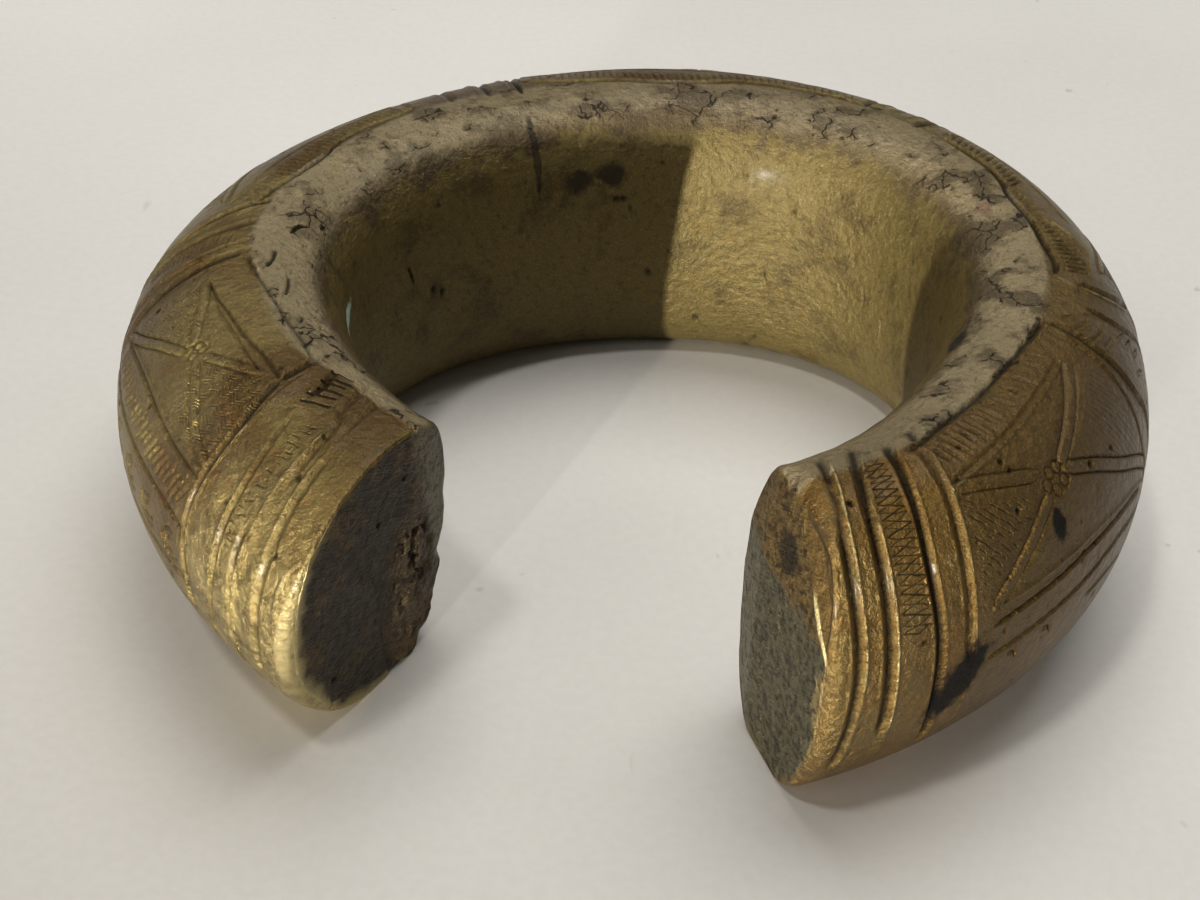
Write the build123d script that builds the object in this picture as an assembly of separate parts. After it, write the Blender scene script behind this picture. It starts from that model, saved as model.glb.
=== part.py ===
from build123d import *
from math import cos, radians, sin, tan
import os

# Solid cast brass manilla: one open ring of thick D-shaped section with two cut tips.
# Millimetres. Angles run from the back of the ring, negative to the left, positive to the right.
# The gap between the tips is at the front, towards -Y, and the ring lies on its worn foot.

# Places of the sections round the ring, in degrees from the back
quarter_angle = 40
side_angle = 80
shoulder_angle = 115
left_tip_angle = 145.5
right_tip_angle = 155.5

# Radius of the arm opening at each section
left_tip_inner = 27.1
left_shoulder_inner = 28.7
left_side_inner = 31.8
left_quarter_inner = 31.0
back_inner = 31.6
right_quarter_inner = 34.8
right_side_inner = 32.0
right_shoulder_inner = 29.0
right_tip_inner = 29.7

# Thickness of the metal at each section, from the arm opening outwards
left_tip_wall = 25.7
left_shoulder_wall = 25.9
left_side_wall = 25.7
left_quarter_wall = 25.2
back_wall = 24.5
right_quarter_wall = 21.5
right_side_wall = 23.1
right_shoulder_wall = 23.9
right_tip_wall = 20.6

# Height of the ring, lowest at the left tip
left_tip_height = 31.2
left_side_height = 32.8
back_height = 34.9
right_side_height = 34.8
right_tip_height = 33.8

# How far the crest, the highest line round the top, lies from the arm opening
crest_inset = 10.0

# How full the section's arcs are: 0.55 gives an ellipse, 1 a square corner
inner_fullness = 0.74
outer_fullness = 0.57

# Metal worn off underneath, which leaves the flat foot that the ring lies on
foot_wear = 0.5

# Cut face of each tip, in degrees: a turn puts its outer side forward, a lean its top
left_face_turn = 8
left_face_lean = 4.5
right_face_turn = -2
right_face_lean = 0

# Bevel filed on the inner side of each cut face, turned further back by this much
left_bevel_width = 5.5
left_bevel_turn = 12
right_bevel_width = 5.0
right_bevel_turn = 12

# Spare degrees of ring past each tip, which the cuts take off
cut_allowance = 8


def radial(angle):
    """Direction from the centre of the arm opening out through the ring."""
    return Vector(sin(radians(angle)), cos(radians(angle)), 0)


def onward(angle):
    """Direction along the ring, towards larger angles."""
    return Vector(cos(radians(angle)), -sin(radians(angle)), 0)


def section(angle, inner, wall, height):
    """D-shaped face across the ring, nearly straight inside and round outside."""
    plane = Plane(origin=(0, 0, 0), x_dir=radial(angle), z_dir=onward(angle))
    crest = inner + crest_inset
    middle = (height - foot_wear) / 2
    rise = (height + foot_wear) / 2

    def arc(side, fullness, up):
        """Points of the arc from the section's side to its top or bottom line."""
        reach = side - crest
        return [
            (side, middle),
            (side, middle + up * rise * fullness),
            (crest + reach * fullness, middle + up * rise),
            (crest, middle + up * rise),
        ]

    outer = inner + wall
    loop = [
        arc(inner, inner_fullness, 1),
        arc(outer, outer_fullness, 1)[::-1],
        arc(outer, outer_fullness, -1),
        arc(inner, inner_fullness, -1)[::-1],
    ]
    arcs = [Bezier(*[plane.from_local_coords(point) for point in points]) for points in loop]
    return Face(Wire(arcs))


def tip_planes(outward, angle, inner, wall, height, turn, lean, bevel_width, bevel_turn):
    """The cut face of a tip and its bevel, as planes that face out of the metal."""
    across = radial(angle)
    centre = across * (inner + wall / 2) + Vector(0, 0, height / 2)
    slope = tan(radians(turn))
    bevel_slope = tan(radians(turn + bevel_turn))
    rake = Vector(0, 0, tan(radians(lean)))
    crease_offset = bevel_width - wall / 2
    crease = centre + (across + outward * slope) * crease_offset
    face = Plane(origin=centre, z_dir=outward - across * slope - rake)
    bevel = Plane(origin=crease, z_dir=outward - across * bevel_slope - rake)
    return face, bevel


# Ring: one loft through the sections, with spare length past both tips
left_tip = (left_tip_inner, left_tip_wall, left_tip_height)
right_tip = (right_tip_inner, right_tip_wall, right_tip_height)
left_shoulder_height = (left_tip_height + left_side_height) / 2
left_quarter_height = (left_side_height + back_height) / 2
right_quarter_height = (right_side_height + back_height) / 2
right_shoulder_height = (right_tip_height + right_side_height) / 2
sections = [
    section(-left_tip_angle - cut_allowance, *left_tip),
    section(-left_tip_angle, *left_tip),
    section(-shoulder_angle, left_shoulder_inner, left_shoulder_wall, left_shoulder_height),
    section(-side_angle, left_side_inner, left_side_wall, left_side_height),
    section(-quarter_angle, left_quarter_inner, left_quarter_wall, left_quarter_height),
    section(0, back_inner, back_wall, back_height),
    section(quarter_angle, right_quarter_inner, right_quarter_wall, right_quarter_height),
    section(side_angle, right_side_inner, right_side_wall, right_side_height),
    section(shoulder_angle, right_shoulder_inner, right_shoulder_wall, right_shoulder_height),
    section(right_tip_angle, *right_tip),
    section(right_tip_angle + cut_allowance, *right_tip),
]
casting = loft(sections)

# Tips: a cut face and an inner bevel at each end of the ring
left_planes = tip_planes(
    onward(-left_tip_angle) * -1, -left_tip_angle, *left_tip,
    left_face_turn, left_face_lean, left_bevel_width, left_bevel_turn,
)
right_planes = tip_planes(
    onward(right_tip_angle), right_tip_angle, *right_tip,
    right_face_turn, right_face_lean, right_bevel_width, right_bevel_turn,
)
cut_width = 2 * max(left_tip_wall, left_tip_height, right_tip_wall, right_tip_height)
cut_reach = 2 * radians(cut_allowance) * (left_tip_inner + left_tip_wall)
tip_waste = Box(cut_width, cut_width, cut_reach, align=(Align.CENTER, Align.CENTER, Align.MIN))
for outward_plane in left_planes + right_planes:
    casting -= outward_plane * tip_waste

# Foot: worn flat where the ring lies on the table
casting = split(casting, bisect_by=Plane.XY, keep=Keep.TOP)

# The origin is under the middle of the whole ring
box = casting.bounding_box()
casting = Pos(-box.center().X, -box.center().Y, 0) * casting

os.makedirs("parts", exist_ok=True)
export_step(casting, "parts/manilla_casting.step")
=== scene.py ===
import bpy
import math
import random
import numpy as np
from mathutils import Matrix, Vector


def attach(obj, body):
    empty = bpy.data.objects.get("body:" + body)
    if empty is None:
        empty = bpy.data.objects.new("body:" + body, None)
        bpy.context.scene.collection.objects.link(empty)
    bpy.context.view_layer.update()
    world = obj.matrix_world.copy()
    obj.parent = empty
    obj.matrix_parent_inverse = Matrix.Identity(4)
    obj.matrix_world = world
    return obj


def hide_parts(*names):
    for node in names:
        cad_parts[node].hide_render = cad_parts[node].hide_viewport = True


# African currency manilla: one open ring of cast brass, carved outside, with two cut tips.
# Sizes in millimetres and degrees round the ring from its back, negative to the left.
# Carving is laid out on a chart: degrees round the ring, and the drop, the way from the crest
# outwards and down over the side, where 25 is the widest line of the ring and -25 its bore.

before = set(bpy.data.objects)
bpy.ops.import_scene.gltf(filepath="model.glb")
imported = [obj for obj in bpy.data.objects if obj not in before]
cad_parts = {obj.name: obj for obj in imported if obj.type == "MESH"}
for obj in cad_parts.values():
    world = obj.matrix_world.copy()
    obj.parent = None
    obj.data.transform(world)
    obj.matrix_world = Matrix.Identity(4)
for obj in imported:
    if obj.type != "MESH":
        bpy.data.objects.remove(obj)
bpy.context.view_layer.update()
scene = bpy.context.scene
mm = 0.001
print("frame loaded")


class Wire:  # one output socket, so that sums on it read as sums and add their Math nodes
    def __init__(self, net, socket):
        self.net = net
        self.socket = socket

    def sum(self, operation, *others):
        return self.net.maths(operation, self, *others)

    def __add__(self, other): return self.sum("ADD", other)
    def __radd__(self, other): return self.sum("ADD", other)
    def __sub__(self, other): return self.sum("SUBTRACT", other)
    def __rsub__(self, other): return self.net.maths("SUBTRACT", other, self)
    def __mul__(self, other): return self.sum("MULTIPLY", other)
    def __rmul__(self, other): return self.sum("MULTIPLY", other)
    def __truediv__(self, other): return self.sum("DIVIDE", other)
    def __rtruediv__(self, other): return self.net.maths("DIVIDE", other, self)
    def __pow__(self, other): return self.sum("POWER", other)
    def __neg__(self): return self.sum("MULTIPLY", -1.0)
    def __abs__(self): return self.sum("ABSOLUTE")

    def least(self, other): return self.sum("MINIMUM", other)
    def most(self, other): return self.sum("MAXIMUM", other)
    def over(self, other): return self.sum("GREATER_THAN", other)
    def under(self, other): return self.sum("LESS_THAN", other)
    def sine(self): return self.sum("SINE")
    def cosine(self): return self.sum("COSINE")
    def root(self): return self.sum("SQRT")
    def whole(self): return self.sum("ROUND")

    def ramp(self, start, end, low=0.0, high=1.0, smooth=True):  # runs from low to high between start and end
        kind = "SMOOTHSTEP" if smooth else "LINEAR"
        return self.net.add("ShaderNodeMapRange", {"interpolation_type": kind, "clamp": True},
                            {"Value": self, "From Min": start, "From Max": end, "To Min": low, "To Max": high})


class Net:  # one node tree
    def __init__(self, tree):
        self.tree = tree

    def add(self, kind, settings=None, sockets=None, out=0):
        node = self.tree.nodes.new(kind)
        for name, value in (settings or {}).items():
            if name == "stops":
                ramp = node.color_ramp
                while len(ramp.elements) < len(value):
                    ramp.elements.new(0.5)
                for element, (place, colour) in zip(ramp.elements, value):
                    element.position = place
                    element.color = colour
            elif name == "points":
                curve = node.mapping.curves[0]
                node.mapping.extend = "HORIZONTAL"
                while len(curve.points) < len(value):
                    curve.points.new(0.5, 0.5)
                for point, place in zip(curve.points, value):
                    point.location = place
                    point.handle_type = "AUTO"
                node.mapping.update()
            else:
                setattr(node, name, value)
        for name, value in (sockets or {}).items():
            self.feed(node.inputs[name], value)
        return node if out is None else Wire(self, node.outputs[out])

    def feed(self, socket, value):
        if isinstance(value, Wire):
            self.tree.links.new(value.socket, socket)
        elif value is not None:
            socket.default_value = value

    def maths(self, operation, *values):
        return self.add("ShaderNodeMath", {"operation": operation}, dict(enumerate(values)))

    def vector(self, x=0.0, y=0.0, z=0.0):
        return self.add("ShaderNodeCombineXYZ", None, {0: x, 1: y, 2: z})

    def parts(self, value):
        node = self.add("ShaderNodeSeparateXYZ", None, {0: value}, out=None)
        return [Wire(self, socket) for socket in node.outputs]

    def vectors(self, operation, *values, out=0):
        return self.add("ShaderNodeVectorMath", {"operation": operation}, dict(enumerate(values)), out=out)

    def scaled(self, value, factor):
        return self.add("ShaderNodeVectorMath", {"operation": "SCALE"}, {0: value, "Scale": factor})

    def noise(self, at, scale, detail=2.0, rough=0.5, warp=0.0, out=0):
        return self.add("ShaderNodeTexNoise", None,
                        {"Vector": at, "Scale": scale, "Detail": detail, "Roughness": rough, "Distortion": warp}, out=out)

    def chance(self, at):  # an unrelated number from 0 to 1 for each whole number
        return self.add("ShaderNodeTexWhiteNoise", {"noise_dimensions": "1D"}, {"W": at})

    def tint(self, factor, first, second):  # colours only
        return self.add("ShaderNodeMix", {"data_type": "RGBA"}, {0: factor, 6: first, 7: second}, out=2)


def paint(red, green, blue):  # a colour as the eye sees it, from 0 to 255, to the light it stands for
    def light(value):
        value /= 255
        return value / 12.92 if value <= 0.04045 else ((value + 0.055) / 1.055) ** 2.4
    return (light(red), light(green), light(blue), 1.0)


def keep(obj):
    scene.collection.objects.link(obj)
    return obj


def plainMesh(obj, name):  # the evaluated result as a mesh of its own
    graph = bpy.context.evaluated_depsgraph_get()
    graph.update()
    mesh = bpy.data.meshes.new_from_object(obj.evaluated_get(graph))
    mesh.name = name
    return mesh


# Camera, floor and light
view = {
    "place": (0.01147, -0.17074, 0.13440),
    "turn": (52.954, -1.777, 6.245),
    "lens": 55.6,
    "sensor": 36.0,
}
camera = keep(bpy.data.objects.new("camera", bpy.data.cameras.new("camera")))
camera.location = view["place"]
camera.rotation_euler = [math.radians(angle) for angle in view["turn"]]
camera.data.lens = view["lens"]
camera.data.sensor_width = view["sensor"]
camera.data.clip_start = 0.005
scene.camera = camera
scene.view_settings.view_transform = "Standard"
print("camera placed")

table = {
    "size": 1.3,
    "colour": paint(207, 204, 198),
    # the darker table colour: cloudy wear, and the painted shade towards the front
    "worn": paint(178, 174, 167),
    "scratch": paint(164, 156, 146),
}


def makeTable():
    mesh = bpy.data.meshes.new("tableTop")
    half = table["size"] / 2
    mesh.from_pydata([(-half, -half, 0), (half, -half, 0), (half, half, 0), (-half, half, 0)], [], [(0, 1, 2, 3)])
    floor = keep(bpy.data.objects.new("tableTop", mesh))
    material = bpy.data.materials.new("paleTable")
    material.use_nodes = True
    net = Net(material.node_tree)
    shader = material.node_tree.nodes["Principled BSDF"]
    place = net.add("ShaderNodeTexCoord", out=3)
    cloud = net.noise(place, 9.0, 4.0, 0.55)
    scuff = net.noise(net.vectors("MULTIPLY", place, (220.0, 60.0, 1.0)), 1.0, 3.0, 0.6)
    marks = scuff.ramp(0.66, 0.74) * net.noise(place, 14.0, 2.0).ramp(0.52, 0.66)
    x, y, z = net.parts(place)
    paintedShadeToFront = (x * 0.6 + y).ramp(0.05, -0.15) * 0.8  # painted shade: darker towards the front, in place of the lamps' falloff
    grit = net.noise(place, 800.0, 2.0).ramp(0.3, 0.7) * 0.1
    colour = net.tint(paintedShadeToFront + cloud.ramp(0.35, 0.7) * 0.2 + grit, table["colour"], table["worn"])
    specks = net.noise(place, 330.0, 1.0).ramp(0.74, 0.78) * net.noise(place, 26.0, 2.0).ramp(0.5, 0.6)
    net.feed(shader.inputs["Base Color"], net.tint((marks * 0.45).most(specks * 0.5), colour, table["scratch"]))
    shader.inputs["Roughness"].default_value = 0.55
    shader.inputs["Specular IOR Level"].default_value = 0.3
    mesh.materials.append(material)


makeTable()

lights = {
    # name: place, aim, width, height, power in watts, colour
    "ceiling": ((0.10, 0.45, 1.25), (0, 0, 0), 1.1, 0.9, 15.5, (1.0, 0.99, 0.97)),
    "key": ((-0.33, -0.40, 1.30), (0, 0, 0), 0.14, 0.14, 4.5, (1.0, 0.99, 0.97)),
    "low": ((-0.331, -0.915, 0.028), (0.0, 0.0, 0.018), 0.014, 0.036, 23.0, (1.0, 0.98, 0.94)),  # in through the gap
    "frontLeft": ((-0.50, -0.56, 0.55), (0, 0.01, 0.02), 0.30, 0.38, 1.0, (1.0, 0.985, 0.96)),
    "leftFill": ((-0.9, 0.1, 0.45), (0, 0, 0.02), 0.4, 0.5, 1.2, (1.0, 0.99, 0.97)),
}
room = {
    "wall": paint(172, 170, 166),  # near the horizon
    "above": paint(84, 83, 81),
    "soft": paint(92, 91, 89),  # what the room gives to matt surfaces
}


def makeLights():
    for name, (place, aim, width, height, power, colour) in lights.items():
        lamp = bpy.data.lights.new(name, "AREA")
        lamp.shape = "RECTANGLE"
        lamp.size = width
        lamp.size_y = height
        lamp.energy = power
        lamp.color = colour
        obj = keep(bpy.data.objects.new(name, lamp))
        obj.location = place
        obj.rotation_euler = (Vector(aim) - Vector(place)).to_track_quat("-Z", "Y").to_euler()
    world = bpy.data.worlds.new("room")
    scene.world = world
    world.use_nodes = True
    net = Net(world.node_tree)
    background = world.node_tree.nodes["Background"]
    x, y, upward = net.parts(net.add("ShaderNodeTexCoord"))
    seen = net.tint(upward.ramp(0.05, 0.4), room["wall"], room["above"])
    ray = net.add("ShaderNodeLightPath", out=None)
    rays = [Wire(net, ray.outputs[name]) for name in ("Is Camera Ray", "Is Glossy Ray", "Is Transmission Ray")]
    net.feed(background.inputs["Color"], net.tint(rays[0].most(rays[1]).most(rays[2]), room["soft"], seen))
    background.inputs["Strength"].default_value = 1.0


makeLights()
print("table and lights placed")


# The ring's skin
# One line per station round the ring: degrees, bore radius, wall, height
stations = [
    (-153.5, 27.1, 25.7, 31.2),
    (-145.5, 27.1, 25.7, 31.2),
    (-115.0, 28.7, 25.9, 32.0),
    (-80.0, 31.8, 25.7, 32.8),
    (-40.0, 31.0, 25.2, 33.85),
    (0.0, 31.6, 24.5, 34.9),
    (40.0, 34.8, 21.5, 34.85),
    (80.0, 32.0, 23.1, 34.8),
    (115.0, 29.0, 23.9, 34.3),
    (155.5, 29.7, 20.6, 33.8),
    (163.5, 29.7, 20.6, 33.8),
]
ring = {
    "centre": (1.2218, -5.2374),  # the ring's centre seen from the frame's origin
    "crestInset": 10.0,
    "innerFullness": 0.74,
    "outerFullness": 0.57,
    "footWear": 0.5,
    "widest": 25.0,  # the drop at the widest line
    "columns": 1800,
    "rimColumns": 6,
    "capColumns": 46,
    "rows": 340,
    "seed": 7,
    "triangles": 194000,
}
# The two cut tips: a turn puts a face's outer side forward, a lean its top, and a brow is its worn upper part
tips = {
    "left": {"side": -1, "degrees": -145.5, "inner": 27.1, "wall": 25.7, "height": 31.2, "turn": 8.0, "lean": 4.5,
             "bevelWidth": 5.5, "bevelTurn": 12.0, "browFrom": 30.0, "browTurn": 0.0},
    "right": {"side": 1, "degrees": 155.5, "inner": 29.7, "wall": 20.6, "height": 33.8, "turn": -2.0, "lean": 0.0,
              "bevelWidth": 5.0, "bevelTurn": 12.0, "browFrom": 6.3, "browTurn": 8.0},
}


def smoothRun(places, sizes, wanted):  # least-bend curve through the stations
    places, sizes, wanted = (np.array(values, float) for values in (places, sizes, wanted))
    gaps = np.diff(places)
    count = len(places)
    system = np.eye(count)
    pull = np.zeros(count)
    for i in range(1, count - 1):
        system[i, i - 1:i + 2] = (gaps[i - 1], 2 * (gaps[i - 1] + gaps[i]), gaps[i])
        pull[i] = 6 * ((sizes[i + 1] - sizes[i]) / gaps[i] - (sizes[i] - sizes[i - 1]) / gaps[i - 1])
    bend = np.linalg.solve(system, pull)
    i = np.clip(np.searchsorted(places, wanted) - 1, 0, count - 2)
    near, far = wanted - places[i], places[i + 1] - wanted
    gap = gaps[i]
    return ((bend[i] * far ** 3 + bend[i + 1] * near ** 3) / (6 * gap)
            + (sizes[i] / gap - bend[i] * gap / 6) * far
            + (sizes[i + 1] / gap - bend[i + 1] * gap / 6) * near)


def skinGroup():  # a place on the chart to its radius and level, and the middle of its section
    tree = bpy.data.node_groups.new("manillaSkin", "GeometryNodeTree")
    for name in ("Degrees", "Drop"):
        tree.interface.new_socket(name, in_out="INPUT", socket_type="NodeSocketFloat")
    for name in ("Radius", "Level", "Middle Radius", "Middle Level"):
        tree.interface.new_socket(name, in_out="OUTPUT", socket_type="NodeSocketFloat")
    net = Net(tree)
    given = net.add("NodeGroupInput", out=None)
    degrees, drop = Wire(net, given.outputs[0]), Wire(net, given.outputs[1])
    reach, top = 180.0, 50.0  # what the size curves' two axes stand for
    turn = (degrees + reach) / (2 * reach)
    wanted = np.linspace(stations[0][0], stations[-1][0], 61)

    def size(column):
        run = smoothRun([s[0] for s in stations], [s[column] for s in stations], wanted)
        points = [((a + reach) / (2 * reach), v / top) for a, v in zip(wanted, run)]
        return net.add("ShaderNodeFloatCurve", {"points": points}, {"Value": turn}) * top

    inner, wall, height = size(1), size(2), size(3)
    share = drop / ring["widest"]
    along = 1 - abs(1 - abs(share))
    back = 1 - along
    outside = share.over(0.0)
    fullness = outside * (ring["outerFullness"] - ring["innerFullness"]) + ring["innerFullness"]
    reachOut = outside * wall - ring["crestInset"]
    first, second, third = along * back * back * 3, along * along * back * 3, along * along * along
    radius = inner + ring["crestInset"] + reachOut * (first * fullness + second + third)
    middle = (height - ring["footWear"]) / 2
    rise = (height + ring["footWear"]) / 2
    upward = abs(share).under(1.0) * 2 - 1
    level = middle + upward * rise * (back * back * back + first + second * fullness)
    end = net.add("NodeGroupOutput", out=None)
    for name, value in zip(("Radius", "Level", "Middle Radius", "Middle Level"),
                           (radius, level.most(0.0), inner + wall / 2, height / 2)):
        net.feed(end.inputs[name], value)
    return tree


def tipCut(net, tip, radius, level):  # degrees round the ring at which a tip's cut face stands
    slope = math.tan(math.radians(tip["turn"]))
    bevelSlope = math.tan(math.radians(tip["turn"] + tip["bevelTurn"]))
    crease = tip["bevelWidth"] - tip["wall"] / 2
    across = radius - (tip["inner"] + tip["wall"] / 2)
    tall = level - tip["height"] / 2
    face = across * slope
    bevel = (across - crease) * bevelSlope + crease * slope
    brow = (tall - tip["browFrom"]).most(0.0) * math.tan(math.radians(tip["browTurn"]))
    out = net.maths("SMOOTH_MIN", face, bevel, 0.35) + tall * math.tan(math.radians(tip["lean"])) - brow
    return out / radius * (tip["side"] * 180 / math.pi) + tip["degrees"]


def placed(net, degrees, radius, level):  # metres in the frame
    angle = degrees * (math.pi / 180)
    x, y = ring["centre"]
    return net.scaled(net.vector(radius * angle.sine() + x, radius * angle.cosine() + y, level), mm)


# Carving, laid out on the chart
carving = {"cut": [], "bead": [], "nick": [], "strap": []}  # tool: list of (points, half width, depth, taper)


def carve(tool, points, wide, deep, taper=1.2):
    carving[tool].append((points, wide, deep, taper))


def shifted(points, degrees, drop=0.0):
    return [(a + degrees, d + drop) for a, d in points]


def rightCollar():
    carve("bead", [(137.2, 33), (137.4, 26), (137.6, 20), (137.5, 15), (137.2, 12), (136.8, 9), (136.0, 5), (134.9, 1)], 0.42, 0.22)
    carve("cut", [(138.3, 24), (138.3, 17), (138.0, 12), (137.5, 8.5), (137.0, 6), (136.5, 3.5), (135.8, 0.2)], 0.62, 0.40)
    carve("cut", [(134.9, -0.4), (134.2, -1.7), (133.4, -3.4)], 0.75, 0.5, 0.8)
    carve("bead", [(141.0, 34), (141.4, 26), (141.6, 21), (141.9, 16), (141.9, 12), (141.4, 7.5), (140.6, 3), (139.9, 0.6)], 0.5, 0.12)
    carve("cut", [(140.9, 35), (141.7, 28), (142.1, 21), (142.6, 15), (142.5, 11), (142.0, 7.5), (141.3, 4), (140.3, 1), (139.5, -1.2), (138.3, -3)], 0.6, 0.55)
    carve("bead", [(147.2, 34), (147.1, 27), (147.4, 20), (147.6, 14), (147.5, 9), (147.1, 5), (146.4, 2), (145.2, 0), (143.4, -2.4)], 0.46, 0.24)
    carve("cut", [(148.0, 30), (148.2, 21), (148.4, 14), (148.3, 9), (147.9, 5.5), (147.3, 3), (145.8, -0.6), (144.3, -3), (142.6, -5.4)], 0.66, 0.52)
    carve("bead", [(152.0, 34), (151.5, 27), (151.0, 21), (151.4, 15), (151.3, 10), (150.9, 5.5), (150.2, 2.5), (149.2, -0.4), (148.0, -3.4)], 0.5, 0.2)
    carve("cut", [(152.7, 34), (152.1, 28), (151.8, 21), (152.1, 14), (152.1, 9), (151.8, 5), (151.2, 2.4), (150.4, -0.4), (149.4, -3), (148.2, -6.2)], 0.62, 0.5)


def leftCollar():
    carve("bead", [(-145.6, 22), (-145.6, 18.5), (-146.2, 15.6)], 0.7, 0.3)
    carve("cut", [(-142.4, 30), (-142.9, 25), (-143.0, 20), (-143.0, 15), (-142.6, 11), (-142.1, 7), (-141.6, 4.5)], 0.5, 0.34)
    carve("bead", [(-141.8, 28), (-142.0, 21), (-142.1, 15), (-141.8, 10), (-141.2, 5.5), (-140.6, 3)], 0.8, 0.16)
    carve("cut", [(-140.6, 3.4), (-139.5, 1), (-138.7, -0.8), (-137.9, -2.6), (-136.8, -5), (-135.8, -7)], 0.42, 0.34, 3.0)
    carve("bead", [(-142.4, 1), (-141.4, -1.4), (-140.2, -3.6), (-138.4, -5.4)], 0.8, 0.12)
    carve("bead", [(-138.8, 31), (-139.2, 24), (-139.2, 17), (-139.3, 13), (-138.9, 9), (-138.5, 5.5), (-137.8, 2.6)], 0.42, 0.22)
    carve("cut", [(-138.5, 30), (-138.7, 22), (-138.4, 18), (-138.4, 15)], 0.42, 0.4)
    carve("cut", [(-140.2, 11), (-139.9, 8), (-139.3, 5), (-138.4, 2.6), (-137.3, 1.2), (-136.2, 0.6), (-135.0, -1), (-133.5, -3.4), (-132.0, -5.4), (-130.8, -7.2)], 0.44, 0.38, 3.0)
    carve("bead", [(-135.0, 30), (-135.1, 24), (-134.9, 17), (-134.8, 13), (-134.2, 9.6), (-133.3, 7), (-132.2, 4.6), (-131.0, 2.6)], 0.44, 0.22)
    carve("cut", [(-134.6, 30), (-135.5, 22), (-135.4, 15), (-135.0, 11.5), (-134.3, 8.8), (-133.3, 6.2), (-132.2, 4.0)], 0.42, 0.36)
    carve("bead", [(-129.8, 30), (-130.1, 24), (-129.9, 18), (-129.9, 14), (-129.5, 10), (-128.8, 6.4), (-127.6, 3.6), (-126, 0.6), (-124, -2)], 0.44, 0.22)
    carve("cut", [(-130.7, 29), (-130.2, 24), (-129.5, 20.5), (-129.3, 16), (-129.1, 12), (-128.6, 9), (-127.6, 6.6), (-126.3, 4.4), (-125.0, 2.4), (-123.7, -0.2), (-122.2, -2.5)], 0.5, 0.5)
    carve("cut", [(-130.4, 1.4), (-129.2, -0.6), (-127.8, -2), (-126.2, -3.7)], 0.5, 0.42)


def rings(centres, radius):
    for a, d in centres:
        loop = [(a + radius * math.cos(t * math.pi / 4), d + radius * math.sin(t * math.pi / 4)) for t in range(9)]
        carve("nick", loop, 0.24, 0.24, 0.0)


def rightPanel():
    carve("cut", [(97.6, 0.7), (101, 0.4), (106, 0), (113, -0.35), (120, -0.4), (127, -0.6), (132, -0.5), (137.4, 0)], 0.46, 0.62)
    carve("bead", [(98.5, 1.3), (104, 0.8), (112, 0.45)], 0.3, 0.14)
    carve("bead", [(104.6, 4.4), (110, 4.5), (116, 4.8), (123, 5.3), (130, 6.0), (136, 6.6)], 0.34, 0.2)
    carve("nick", [(104.6, 3.8), (110, 3.9), (116, 4.2), (123, 4.7), (130, 5.3), (136, 6.1)], 0.3, 0.24)
    for line in ([(104.7, 4.8), (110, 7), (115, 9), (120, 11)], [(123.6, 12.6), (128, 15.4), (132, 18), (135, 20)],
                 [(100, 21.6), (104, 19.2), (109, 16.7), (114, 14), (119.4, 11.6)], [(124, 10.2), (128, 8.9), (132, 7.6), (136, 6.7)]):
        carve("strap", line, 0.5, 0.24)
    rings([(120.4, 12.5), (122.1, 12.9), (123.3, 11.9), (122.1, 10.9), (120.6, 10.9)], 0.72)
    for a, low, high, lean in ((106.8, 1.2, 2.4, -0.6), (109.4, 1.0, 2.6, -0.7), (113.3, 0.9, 3.3, -0.9), (116.3, 0.8, 3.9, -1.0),
                               (119.6, 0.7, 3.4, -1.1), (122.6, 1.1, 3.6, -0.5), (123.9, 0.6, 3.4, -0.7), (125.1, 0.8, 3.9, -0.5),
                               (126.3, 0.6, 3.4, -0.6), (127.6, 0.5, 4.0, -0.8), (128.9, 0.6, 4.2, -0.6), (130.3, 0.6, 4.3, -0.9),
                               (131.6, 0.7, 4.5, -1.1), (133.3, 0.8, 4.6, -1.3), (134.6, 1.0, 4.4, -1.2)):
        carve("nick", [(a, low), (a + lean * 0.4, (low + high) / 2), (a + lean, high)], 0.36, 0.34, 1.6)
    for i in range(9):
        a = 122.8 + i * 1.25
        carve("nick", [(a, -0.9), (a + 0.4, -1.5 - (i * 7 % 4) * 0.25)], 0.3, 0.3, 0.8)
    carve("bead", [(101.5, 22.4), (106, 20.9), (112, 19.9), (118, 19.4), (125, 19.6), (130, 19.9), (135.4, 20)], 0.4, 0.2)
    carve("nick", [(104, 22.2), (110, 21), (118, 20.5), (126, 21), (131, 21.4), (135, 21.8)], 0.34, 0.36)
    carve("cut", [(103, 24.6), (107, 23.8), (113, 23.1), (120, 23.6), (127, 24.2), (135.6, 25.1)], 0.36, 0.36)
    carve("nick", [(108, 26.8), (113, 25.9), (119, 25.7)], 0.34, 0.3)
    for a, d in ((126.2, 25.6), (131.6, 26.0)):
        carve("nick", [(a - 0.8, d + 0.7), (a - 0.2, d - 0.1), (a + 0.9, d - 0.2)], 0.3, 0.3, 0.4)


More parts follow.
